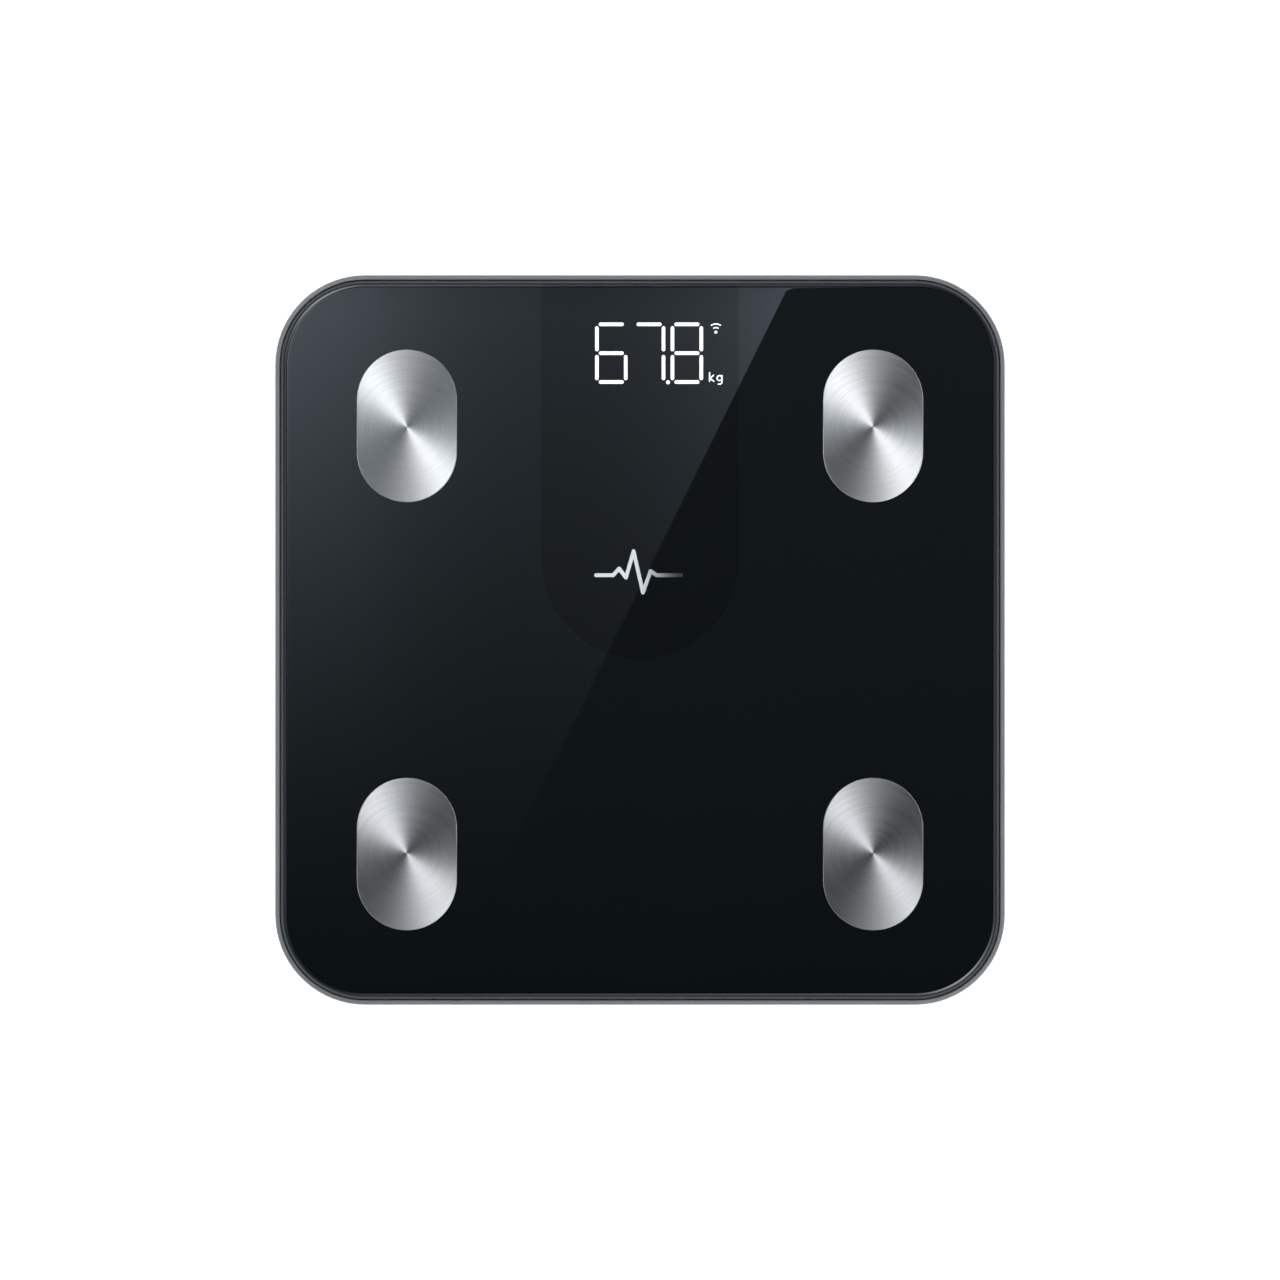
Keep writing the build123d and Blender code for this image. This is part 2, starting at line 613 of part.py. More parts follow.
def add_electrodes(parts):
    """The electrodes with their gaskets, terminals and nuts."""
    x, y = ELECTRODE_AT
    for corner, (sx, sy) in CORNERS.items():
        place(parts, f"electrode_{corner}", electrode(sx * x, sy * y))
        place(parts, f"electrode_gasket_{corner}", electrode_gasket(sx * x, sy * y))
    signs = CORNERS.values()
    tags = [electrode_terminal(sx * x, sy * y, -sx) for sx, sy in signs]
    place(parts, "electrode_terminals", Compound(tags))
    place(parts, "electrode_nuts", Compound([electrode_nut(sx * x, sy * y) for sx, sy in signs]))


# ---------------------------------------------------------------- batteries and door
def battery_rows():
    """(number, y, side of the nub) of each battery."""
    first = BAY_Y - (BATTERY_COUNT - 1) / 2 * BATTERY_PITCH
    return [(i + 1, first + i * BATTERY_PITCH, 1 if i % 2 == 0 else -1) for i in range(BATTERY_COUNT)]


def lying(y, x_from, x_to, radius):
    """A cylinder along X at the height of the batteries' axes."""
    start = Plane(origin=(x_from, y, BATTERY_Z), z_dir=(1, 0, 0))
    return extrude(start * Circle(radius), x_to - x_from)


def battery(y, nub):
    """A battery whose nub meets the flat contact at the bay's end."""
    tip = BAY_L / 2 - PLATE_T - PLATE_GAP
    can = lying(y, tip - BATTERY_L, tip - NUB_L, BATTERY_D / 2)
    can = fillet(can.edges(), BATTERY_ROUND)
    cell = can + lying(y, tip - NUB_L, tip, NUB_R)
    return cell if nub > 0 else mirror(cell, Plane.YZ)


def spring_contact(y, nub):
    """A coil spring between a battery's flat end and the contact plate behind it."""
    low = -BAY_L / 2 + PLATE_T + PLATE_GAP + SPRING_WIRE / 2
    length = SPRING_LENGTH - SPRING_WIRE - 2 * PLATE_GAP
    line = Helix(length / SPRING_TURNS, length, SPRING_R)
    coil = sweep(Plane(origin=line @ 0, z_dir=line % 0) * Circle(SPRING_WIRE / 2), line, is_frenet=True)
    seated = Plane(origin=(low, y, BATTERY_Z), z_dir=(1, 0, 0)).location * coil
    return seated if nub > 0 else mirror(seated, Plane.YZ)


def contact_plate(y, side):
    """A flat contact on one end wall of the bay."""
    x = side * (BAY_L / 2 - PLATE_T / 2)
    return Pos(x, y, BATTERY_Z) * Box(PLATE_T, PLATE_W, PLATE_H)


def battery_door():
    """The door: a plate with two hinge tabs in front and a latch at the rear."""
    plate = slab(Pos(0, BAY_Y) * RectangleRounded(DOOR_L, DOOR_W, DOOR_CORNER_R), TRAY_Z, DOOR_TOP)
    rear = BAY_Y + DOOR_W / 2
    slots = []
    for s in (-1, 1):
        x = s * (LATCH_W + LATCH_SLOT) / 2
        slots.append(block(x, rear - LATCH_L / 2, LATCH_SLOT, LATCH_L, TRAY_Z - 1, DOOR_TOP + 1))
    tab_z = HINGE_Z + TAB_LIFT
    inner = BAY_Y - DOOR_W / 2 + 2 * HINGE_GAP
    tab_l = inner - HINGE_Y + TAB_REACH
    tabs = [block(s * TAB_SIDE, inner - tab_l / 2, TAB_W, tab_l, tab_z, DOOR_TOP) for s in (-1, 1)]
    for i in range(GRIP_COUNT):
        y = rear - GRIP_EDGE - i * GRIP_PITCH
        slots.append(block(0, y, LATCH_W - LATCH_SLOT, GRIP_W, TRAY_Z - 1, TRAY_Z + GRIP_DEPTH))
    mid = (TRAY_Z + DOOR_TOP) / 2
    bump = block(0, rear, LATCH_W / 2, 2 * LATCH_BUMP, mid, DOOR_TOP)
    return plate - slots + tabs + bump


def add_batteries(parts):
    """Batteries, contacts and the door."""
    for number, y, nub in battery_rows():
        place(parts, f"battery_{number}", battery(y, nub))
    springs = [spring_contact(y, nub) for _, y, nub in battery_rows()]
    place(parts, "contact_springs", Compound(springs))
    plates = [contact_plate(y, side) for _, y, _ in battery_rows() for side in (-1, 1)]
    place(parts, "contact_plates", Compound(plates))
    place(parts, "battery_door", battery_door())


# ---------------------------------------------------------------- display
def bar_places():
    """Middle and direction (0 across, 90 upright) of the seven bars of a digit, by letter."""
    h, v = BAR_SPAN / 2, BAR_SPAN
    return {
        "a": (0, v, 0),
        "b": (h, v / 2, 90),
        "c": (h, -v / 2, 90),
        "d": (0, -v, 0),
        "e": (-h, -v / 2, 90),
        "f": (-h, v / 2, 90),
        "g": (0, 0, 0),
    }


def digit_bars(lit, grow=0.0):
    """Outlines of the bars that are lit, or of those that aren't, grown all round."""
    found = []
    for i in range(DIGIT_COUNT):
        x = LAST_DIGIT_X - (DIGIT_COUNT - 1 - i) * DIGIT_PITCH
        for letter, (bx, by, turn) in bar_places().items():
            if (letter in LIT_BARS[i]) == lit:
                bar = SlotOverall(BAR_L + 2 * grow, BAR_W + 2 * grow)
                found.append(Pos(x + bx, DISPLAY_Y + by) * Rot(0, 0, turn) * bar)
    if lit:
        found.append(Pos(*DOT_AT) * Circle(DOT_R + grow))
    return found


def stroke(points, width):
    """Straight strokes with round ends through the points."""
    drawn = [Pos(*p) * Circle(width / 2) for p in points]
    for (x0, y0), (x1, y1) in zip(points, points[1:]):
        run = ((x1 - x0) ** 2 + (y1 - y0) ** 2) ** 0.5
        turn = degrees(atan2(y1 - y0, x1 - x0))
        drawn.append(Pos((x0 + x1) / 2, (y0 + y1) / 2) * Rot(0, 0, turn) * Rectangle(run, width))
    return Sketch() + drawn


def fan_arc(radius, width, spread):
    """A piece of a ring that opens upwards, spread degrees each way from the Y axis."""
    far = 2 * radius
    wedge = Polygon((0, 0), (far * sin(radians(spread)), far), (-far * sin(radians(spread)), far), align=None)
    return (Circle(radius + width / 2) - Circle(radius - width / 2)) & wedge


def icon_sketches(grow=0.0):
    """The wireless mark and the unit letters, as separate closed outlines."""
    width = ICON_STROKE + 2 * grow
    wireless = [Circle(WAVE_DOT_R + grow)]
    wireless += [fan_arc(r, width, WAVE_SPREAD) for r in WAVE_R]
    letter_k = stroke(K_STEM, width) + stroke(K_ARMS, width)
    bowl = Circle(G_BOWL_R + width / 2) - Circle(G_BOWL_R - width / 2)
    letter_g = Pos(*G_BOWL) * bowl + stroke(G_TAIL, width)
    top = Pos(ICON_X, ICON_TOP_Y - WAVE_DROP)
    low = Pos(ICON_X, ICON_LOW_Y)
    return [top * mark for mark in wireless] + [low * letter_k, low * letter_g]


def display_housing():
    """The reflector block, with a light well under each bar and icon."""
    body = block(0, DISPLAY_Y, LED_L, LED_W, PCB_TOP, LED_TOP)
    wells = [*digit_bars(True, BAR_GAP), *digit_bars(False, BAR_GAP), *icon_sketches(BAR_GAP)]
    return body - [slab(w, LED_TOP - BAR_DEPTH, LED_TOP + 1) for w in wells]


def light_guides(outlines):
    """Clear guides that fill the wells."""
    return Compound([s for o in outlines for s in slab(o, LED_TOP - BAR_DEPTH, LED_TOP).solids()])


def display_gasket():
    """The foam ring that keeps light in, between the display and the glass."""
    outer = Rectangle(LED_L, LED_W)
    inner = Rectangle(LED_L - 2 * LED_GASKET_W, LED_W - 2 * LED_GASKET_W)
    return slab(Pos(0, DISPLAY_Y) * (outer - inner), LED_TOP, GLASS_Z)


def add_display(parts):
    """The display's block, light guides and gasket."""
    place(parts, "display_housing", display_housing())
    place(parts, "display_bars_lit", light_guides(digit_bars(True)))
    place(parts, "display_bars_unlit", light_guides(digit_bars(False)))
    place(parts, "display_icons", light_guides(icon_sketches()))
    place(parts, "display_gasket", display_gasket())


# ---------------------------------------------------------------- circuit board
def main_board():
    """The circuit board, with its four screw holes."""
    board = slab(Pos(0, PCB_Y) * RectangleRounded(PCB_L, PCB_W, PCB_CORNER_R), PCB_Z, PCB_TOP)
    hole = SCREW_R + SCREW_HOLE_GAP
    return board - [disc(x, y, hole, PCB_Z - 1, PCB_TOP + 1) for x, y in board_posts()]


def board_screw(x, y):
    """A pan-head screw through the board into its post."""
    low = PCB_TOP - SCREW_LENGTH
    head = disc(x, y, SCREW_HEAD_R, PCB_TOP, PCB_TOP + SCREW_HEAD_H)
    head = fillet(edges_at(head, PCB_TOP + SCREW_HEAD_H), SCREW_HEAD_H / 2)
    return head + disc(x, y, SCREW_R, low, PCB_TOP)


def connector_y(place_in_row):
    """Y of a lead's connector, counted from the front of the row."""
    return PCB_Y + CONNECTOR_OFF + (place_in_row - (CONNECTOR_ROW - 1) / 2) * CONNECTOR_PITCH


def lead_connectors():
    """Connectors under the board's two short edges, four on each side."""
    x = (PCB_L - CONNECTOR_L) / 2
    low = PCB_Z - CONNECTOR_H
    size = (CONNECTOR_L, CONNECTOR_W)
    places = [(s * x, connector_y(i)) for s in (-1, 1) for i in range(CONNECTOR_ROW)]
    rows = [block(*at, *size, low, PCB_Z) for at in places]
    return Compound(rows)


def board_chips():
    """Controller, converter and driver chips and small parts on the board's front strip."""
    strip = PCB_Y - PCB_W / 2
    found = [block(x, strip + CHIP_EDGE, lx, ly, PCB_TOP, PCB_TOP + h) for x, lx, ly, h in CHIPS]
    length, width, height = SMALL_SIZE
    for i in range(SMALL_COUNT):
        x = SMALL_START + i * SMALL_PITCH
        found.append(block(x, strip + SMALL_EDGE, length, width, PCB_TOP, PCB_TOP + height))
    return Compound(found)


def wireless_module():
    """The radio module, with its can over a small board."""
    y = PCB_Y - PCB_W / 2 + MODULE_EDGE
    top = PCB_TOP + MODULE_T
    board = block(MODULE_X, y, MODULE_L, MODULE_W, PCB_TOP, top)
    return board + block(MODULE_X + CAN_OFF, y, CAN_L, CAN_W, top, top + CAN_H)


def tact_switch():
    """The switch under the board, with the bore that its plunger slides in."""
    x, y = BUTTON_X, BUTTON_Y
    body = block(x, y, SWITCH_W, SWITCH_W, PCB_Z - SWITCH_H, PCB_Z)
    top = PCB_Z - SWITCH_H + PLUNGER_IN + BUTTON_TRAVEL + BUTTON_LIFT
    return body - disc(x, y, PLUNGER_R + PLUNGER_GAP, PCB_Z - SWITCH_H - 1, top)


def switch_plunger():
    """The plunger between the switch and the button."""
    x, y = BUTTON_X, BUTTON_Y
    return disc(x, y, PLUNGER_R, button_top(), PCB_Z - SWITCH_H + PLUNGER_IN)


def button_top():
    """The level of the button's inner face."""
    return FLOOR_Z + BUTTON_LIFT + BUTTON_FLANGE_T


def unit_button():
    """The button that changes the unit, in the underside of the tray."""
    x, y = BUTTON_X, BUTTON_Y
    face = TRAY_Z + BUTTON_DISH + BUTTON_SINK
    cap = disc(x, y, BUTTON_R, face, button_top())
    cap = fillet(edges_at(cap, face), BUTTON_GAP)
    return cap + disc(x, y, BUTTON_FLANGE_R, FLOOR_Z + BUTTON_LIFT, button_top())


def add_board(parts):
    """The circuit board and what is on it."""
    place(parts, "main_board", main_board())
    place(parts, "board_chips", board_chips())
    place(parts, "wireless_module", wireless_module())
    place(parts, "lead_connectors", lead_connectors())
    place(parts, "board_screws", Compound([board_screw(x, y) for x, y in board_posts()]))
    place(parts, "tact_switch", tact_switch())
    place(parts, "switch_plunger", switch_plunger())
    place(parts, "unit_button", unit_button())


# ---------------------------------------------------------------- leads
def bend_radii(points):
    """For each bend, the share of the shorter run over the tangent of half the turn."""
    found = []
    for a, b, c in zip(points, points[1:], points[2:]):
        before, after = Vector(*b) - Vector(*a), Vector(*c) - Vector(*b)
        half_turn = radians(before.get_angle(after)) / 2
        found.append(LEAD_ARC_SHARE * min(before.length, after.length) / tan(half_turn))
    return found


def lead(points):
    """A round lead along straight runs joined by arcs."""
    path = FilletPolyline(*points, radius=bend_radii(points))
    return sweep(Plane(origin=path @ 0, z_dir=path % 0) * Circle(LEAD_R), path)


def load_cell_lead(sx, sy):
    """From a strain gauge, out of its pocket and over the floor to the board."""
    y = sy * FOOT_AT + gauge_y()
    high = CEILING_Z - LEAD_CEILING_GAP - LEAD_R
    wall = FOOT_AT - POCKET_R - POCKET_WALL
    goal = connector_y(CONNECTOR_ROW - 1 if sy > 0 else 0)
    points = [(FOOT_AT, y, high), (wall - CELL_LEAD_OUT, y, high)]
    points.append((wall - CELL_LEAD_FALL, y + CELL_LEAD_STEP, LEAD_Z))
    if sy > 0:
        points.append((wall - CELL_LEAD_REAR, goal, LEAD_Z))
    else:
        lane = LANE_X - LANE_PITCH
        points.append((lane, y + CELL_LEAD_ENTRY, LEAD_Z))
        points.append((lane, goal - CELL_LEAD_EXIT, LEAD_Z))
        points.append((lane - CELL_LEAD_TURN, goal, LEAD_Z))
    points.append((PCB_L / 2, goal, LEAD_END_Z))
    return lead([(sx * px, py, pz) for px, py, pz in points])


def electrode_lead(sx, sy):
    """From an electrode's terminal, down to the floor and over it to the board."""
    ex, ey = ELECTRODE_AT
    y = sy * ey
    high = GLASS_Z - TERMINAL_T - LEAD_R
    goal = connector_y(2 if sy > 0 else 1)
    lane = LANE_X + (LANE_PITCH if sy > 0 else 0)
    fall_x, fall_y = ELECTRODE_LEAD_FALL
    points = [
        (ex - TERMINAL_R, y, high),
        (lane + fall_x, y, high),
        (lane, y + fall_y, LEAD_Z),
        (lane, goal - ELECTRODE_LEAD_EXIT, LEAD_Z),
        (lane - ELECTRODE_LEAD_TURN, goal, LEAD_Z),
        (PCB_L / 2, goal, LEAD_END_Z),
    ]
    return lead([(sx * px, py, pz) for px, py, pz in points])


def add_leads(parts):
    """The leads of the load cells and of the electrodes."""
    signs = CORNERS.values()
    place(parts, "load_cell_leads", Compound([load_cell_lead(sx, sy) for sx, sy in signs]))
    place(parts, "electrode_leads", Compound([electrode_lead(sx, sy) for sx, sy in signs]))


def main():
    """Builds every node and writes one STEP file for each."""
    parts = {}
    place(parts, "glass_platform", glass_platform())
    place(parts, "rim_frame", rim_frame())
    place(parts, "glass_tape", glass_tape())
    place(parts, "support_pads", support_pads())
    place(parts, "base_tray", base_tray())
    add_feet(parts)
    add_electrodes(parts)
    add_batteries(parts)
    add_display(parts)
    add_board(parts)
    add_leads(parts)
    os.makedirs("parts", exist_ok=True)
    for name, shape in parts.items():
        export_step(shape, f"parts/{name}.step")


main()
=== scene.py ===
import math

import bpy
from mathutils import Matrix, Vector

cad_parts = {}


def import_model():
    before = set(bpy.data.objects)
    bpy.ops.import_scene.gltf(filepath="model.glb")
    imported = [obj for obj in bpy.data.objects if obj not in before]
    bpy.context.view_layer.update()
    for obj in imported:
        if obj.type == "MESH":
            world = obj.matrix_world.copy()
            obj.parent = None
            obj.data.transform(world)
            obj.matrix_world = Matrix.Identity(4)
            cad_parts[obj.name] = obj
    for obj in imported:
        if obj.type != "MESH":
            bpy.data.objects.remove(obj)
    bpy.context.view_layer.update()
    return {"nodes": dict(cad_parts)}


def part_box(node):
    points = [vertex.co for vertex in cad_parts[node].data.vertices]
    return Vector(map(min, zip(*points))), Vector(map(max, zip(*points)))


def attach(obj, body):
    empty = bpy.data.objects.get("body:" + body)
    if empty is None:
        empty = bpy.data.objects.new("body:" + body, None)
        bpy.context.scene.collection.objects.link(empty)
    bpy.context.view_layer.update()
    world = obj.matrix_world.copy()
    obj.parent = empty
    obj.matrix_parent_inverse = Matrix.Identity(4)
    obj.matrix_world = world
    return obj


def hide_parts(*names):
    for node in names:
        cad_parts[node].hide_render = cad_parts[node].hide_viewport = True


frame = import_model()

NODES = frame["nodes"]
CORNERS = ("rear_left", "rear_right", "front_left", "front_right")


# ---------------------------------------------------------------- node helpers
class Graph:
    """Short calls that add and wire nodes in one tree."""

    def __init__(self, tree):
        self.tree = tree

    def node(self, kind, **props):
        n = self.tree.nodes.new(kind)
        for k, v in props.items():
            setattr(n, k, v)
        return n

    def link(self, source, target):
        """Wires an output to a socket, or sets the socket to a plain number or colour."""
        if isinstance(source, (int, float, tuple)):
            target.default_value = source
        else:
            self.tree.links.new(source, target)

    def position(self):
        return self.node("ShaderNodeTexCoord").outputs["Object"]

    def split(self, vector):
        n = self.node("ShaderNodeSeparateXYZ")
        self.link(vector, n.inputs[0])
        return n.outputs

    def join(self, x, y, z):
        n = self.node("ShaderNodeCombineXYZ")
        for i, v in enumerate((x, y, z)):
            self.link(v, n.inputs[i])
        return n.outputs[0]

    def math(self, op, a, b=0.0, c=0.0):
        n = self.node("ShaderNodeMath", operation=op)
        for i, v in enumerate((a, b, c)):
            self.link(v, n.inputs[i])
        return n.outputs[0]

    def vmath(self, op, a, b=(0, 0, 0), output="Vector"):
        n = self.node("ShaderNodeVectorMath", operation=op)
        self.link(a, n.inputs[0])
        self.link(b, n.inputs[1])
        return n.outputs[output]

    def ramp(self, value, low, high, to_low=0.0, to_high=1.0, smooth=False):
        n = self.node("ShaderNodeMapRange", interpolation_type="SMOOTHSTEP" if smooth else "LINEAR")
        for i, v in enumerate((value, low, high, to_low, to_high)):
            self.link(v, n.inputs[i])
        return n.outputs[0]

    def noise(self, vector, scale, detail=4.0, rough=0.5):
        n = self.node("ShaderNodeTexNoise")
        self.link(vector, n.inputs["Vector"])
        n.inputs["Scale"].default_value = scale
        n.inputs["Detail"].default_value = detail
        n.inputs["Roughness"].default_value = rough
        return n.outputs["Fac"]

    def cells(self, vector, scale):
        n = self.node("ShaderNodeTexVoronoi")
        self.link(vector, n.inputs["Vector"])
        n.inputs["Scale"].default_value = scale
        return n.outputs["Distance"]

    def mix(self, factor, a, b):
        n = self.node("ShaderNodeMix", data_type="RGBA")
        self.link(factor, n.inputs[0])
        self.link(rgba(a), n.inputs[6])
        self.link(rgba(b), n.inputs[7])
        return n.outputs[2]

    def bump(self, height, strength, distance):
        n = self.node("ShaderNodeBump")
        self.link(height, n.inputs["Height"])
        n.inputs["Strength"].default_value = strength
        n.inputs["Distance"].default_value = distance
        return n.outputs[0]


def new_material(name):
    """Returns a material, a Graph on its tree and its Principled node."""
    m = bpy.data.materials.new(name)
    m.use_nodes = True
    return m, Graph(m.node_tree), m.node_tree.nodes["Principled BSDF"]


def rgba(color):
    """An opaque colour from a plain RGB one. An output that carries a colour passes through."""
    return (*color, 1.0) if isinstance(color, tuple) else color


def shade(color, k):
    return tuple(min(1.0, c * k) for c in color)


# ---------------------------------------------------------------- general materials
def plastic(name, color, rough, grain=2600.0, bump=0.25, depth=0.00004, mottle=0.10, wear=0.06, spec=0.5):
    """Moulded plastic: a spark-eroded grain, faint flow mottling and an uneven gloss."""
    m, g, bsdf = new_material(name)
    p = g.position()
    flow = g.noise(p, 38.0, 3.0, 0.55)
    fine = g.noise(p, 900.0, 2.0, 0.5)
    tone = g.math("ADD", g.math("MULTIPLY", flow, 0.7), g.math("MULTIPLY", fine, 0.3))
    g.link(g.mix(tone, shade(color, 1 - mottle), shade(color, 1 + mottle)), bsdf.inputs["Base Color"])
    rubbed = g.noise(p, 60.0, 5.0, 0.6)
    g.link(g.ramp(rubbed, 0.3, 0.7, rough - wear, rough + wear), bsdf.inputs["Roughness"])
    grain_height = g.math("ADD", g.cells(p, grain), g.math("MULTIPLY", g.noise(p, grain * 0.6, 2.0), 0.6))
    g.link(g.bump(grain_height, bump, depth), bsdf.inputs["Normal"])
    bsdf.inputs["Specular IOR Level"].default_value = spec
    return m


def metal(name, color, rough, streak=(40.0, 900.0, 900.0)):
    """Bare metal: fine drawn streaks along X and an uneven polish."""
    m, g, bsdf = new_material(name)
    p = g.position()
    drawn = g.noise(g.vmath("MULTIPLY", p, streak), 1.0, 3.0, 0.6)
    cloud = g.noise(p, 120.0, 4.0, 0.6)
    g.link(g.mix(drawn, shade(color, 0.86), shade(color, 1.06)), bsdf.inputs["Base Color"])
    g.link(g.ramp(cloud, 0.3, 0.7, rough - 0.06, rough + 0.06), bsdf.inputs["Roughness"])
    g.link(g.bump(drawn, 0.15, 0.00002), bsdf.inputs["Normal"])
    bsdf.inputs["Metallic"].default_value = 1.0
    return m


def foam(name, color):
    """Closed-cell foam: small pits all over, painted darker at their bottoms as shade."""
    m, g, bsdf = new_material(name)
    pits = g.cells(g.position(), 1800.0)
    # painted shade: each pit is drawn darker towards its bottom
    g.link(g.mix(g.ramp(pits, 0.0, 0.6), shade(color, 0.6), shade(color, 1.3)), bsdf.inputs["Base Color"])
    bsdf.inputs["Roughness"].default_value = 0.9
    g.link(g.bump(pits, 0.6, 0.0002), bsdf.inputs["Normal"])
    return m


BAND_L = 0.0130  # end of the battery's copper band, from the nub's tip
RING_L = 0.0140  # end of the pale ring beside the band, from the nub's tip
NUB_L = 0.00165  # bare steel at the nub's end
SLEEVE_START = 0.0006  # bare steel at the flat end
PRINT_EDGE = 0.0001  # softness of a printed edge


def battery_material():
    """A cell's printed wrap: dark with a copper band at the nub's end, and bare steel ends."""
    m, g, bsdf = new_material("battery_wrap")
    p = g.position()
    x, y, z = g.split(p)
    low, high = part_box("battery_1")
    middle_low, middle_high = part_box("battery_2")
    row, pitch = float(middle_low[1] + middle_high[1]) / 2, float(middle_low[1] - low[1])
    tip, flat = float(high[0]), float(low[0])
    # the middle cell points the other way
    middle = g.math("LESS_THAN", g.math("ABSOLUTE", g.math("SUBTRACT", y, row)), pitch / 2)
    along = g.math("MULTIPLY", x, g.math("MULTIPLY_ADD", middle, -2.0, 1.0))

    def after(start, soft=PRINT_EDGE):
        return g.ramp(along, start, start + soft)

    def before(end):
        return g.ramp(along, end, end + PRINT_EDGE, 1.0, 0.0)

    copper = after(tip - BAND_L, 2 * PRINT_EDGE)
    ring = g.math("MULTIPLY", after(tip - RING_L), before(tip - BAND_L))
    steel = g.math("MAXIMUM", after(tip - NUB_L), before(flat + SLEEVE_START))
    scuff = g.noise(p, 260.0, 5.0, 0.65)
    dark = g.mix(scuff, (0.012, 0.014, 0.017), (0.020, 0.023, 0.027))
    band = g.mix(scuff, (0.42, 0.15, 0.05), (0.52, 0.20, 0.07))
    wrap = g.mix(ring, g.mix(copper, dark, band), (0.60, 0.60, 0.58))
    g.link(g.mix(steel, wrap, (0.62, 0.62, 0.61)), bsdf.inputs["Base Color"])
    g.link(g.math("MAXIMUM", steel, g.math("MULTIPLY", copper, 0.8)), bsdf.inputs["Metallic"])
    g.link(g.ramp(scuff, 0.3, 0.7, 0.24, 0.36), bsdf.inputs["Roughness"])
    g.link(g.bump(scuff, 0.08, 0.00003), bsdf.inputs["Normal"])
    return m


# ---------------------------------------------------------------- mesh helpers
def arc(cx, cy, radius, start, sweep, steps):
    """Points along an arc, with its angles in degrees."""
    turns = [math.radians(start + sweep * k / steps) for k in range(steps + 1)]
    return [(cx + radius * math.cos(a), cy + radius * math.sin(a)) for a in turns]


def rounded_loop(half, radius, z, steps):
    """Points round a square with rounded corners."""
    points = []
    for i, (sx, sy) in enumerate(((1, -1), (1, 1), (-1, 1), (-1, -1))):
        points += arc(sx * (half - radius), sy * (half - radius), radius, 90 * i - 90, 90, steps)
    return [(x, y, z) for x, y in points]


def stadium_loop(cx, cy, half_w, straight, z, steps):
    """Points round a stadium that runs along Y."""
    upper = arc(cx, cy + straight, half_w, 0, 180, steps)
    lower = arc(cx, cy - straight, half_w, 180, 180, steps)
    return [(x, y, z) for x, y in upper + lower]


def stud_loop(cx, cy, radius, z, steps):
    """A circle whose points match those of a stadium. Its halves stop just short of each other."""
    short = 0.05
    halves = [arc(cx, cy, radius, start + short, 180 * 0.999, steps) for start in (0, 180)]
    return [(x, y, z) for half in halves for x, y in half]


def mesh_object(name, verts, faces, angle=30.0):
    """An object from points and faces, smooth but for edges sharper than the angle."""
    me = bpy.data.meshes.new(name)
    me.from_pydata(verts, [], faces)
    me.validate()
    me.shade_smooth()
    me.set_sharp_from_angle(angle=math.radians(angle))
    o = bpy.data.objects.new(name, me)
    bpy.context.scene.collection.objects.link(o)
    return o


def lofted(name, loops, cap_first=True, cap_last=True, angle=30.0):
    """A mesh skinned over loops of the same number of points, given from the underside to the top."""
    n = len(loops[0])
    verts = [p for loop in loops for p in loop]
    faces = []
    for i in range(len(loops) - 1):
        for k in range(n):
            a, b = i * n + k, i * n + (k + 1) % n
            faces.append((a, b, b + n, a + n))
    if cap_first:
        faces.append(tuple(range(n))[::-1])
    if cap_last:
        faces.append(tuple(range((len(loops) - 1) * n, len(loops) * n)))
    return mesh_object(name, verts, faces, angle)


def add_piece(o, material, replaces=()):
    """Gives an object its material and slot, lets it ride on the scale and hides the nodes it replaces."""
    o.data.materials.append(material)
    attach(o, "scale")
    if replaces:
        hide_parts(*replaces)


# ---------------------------------------------------------------- sizes from the frame
g_low, g_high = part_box("glass_platform")
r_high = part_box("rim_frame")[1]
RIM_R = 0.0345  # outer corner radius
GLASS_HALF = float(g_high[0])
GLASS_LOW, GLASS_TOP = float(g_low[2]), float(g_high[2])
GLASS_R = RIM_R - (float(r_high[0]) - GLASS_HALF)
RIM_TOP = float(r_high[2])
PRINT_LIFT = 0.00003  # print over or under the glass, so that the faces stay apart

# ---------------------------------------------------------------- glass
WINDOW_HALF = 0.0378  # half width of the U-shaped display window
WINDOW_END_Y = 0.0307  # centre of its round lower end
WINDOW_SOFT = 0.00012  # half the softness of its outline
WINDOW_ALPHA = 0.80
INK_DARK, INK_PALE = (0.0024, 0.0040, 0.0047), (0.0028, 0.0046, 0.0054)
# grey of the rounded edge: partly ground frosting, partly a painted highlight
EDGE_FROST_AND_HIGHLIGHT = (0.105, 0.114, 0.122)
EDGE_SATIN = 0.34  # roughness that the ground edge adds
GLASS_IOR = 1.52
ROLL_W, ROLL_H, ROLL_POWER = 0.0030, 0.0014, 2.6  # how the top rolls over at the edge
NOSE_R = 0.0002  # small rounding where the roll meets the upright side
ARRIS = 0.0004


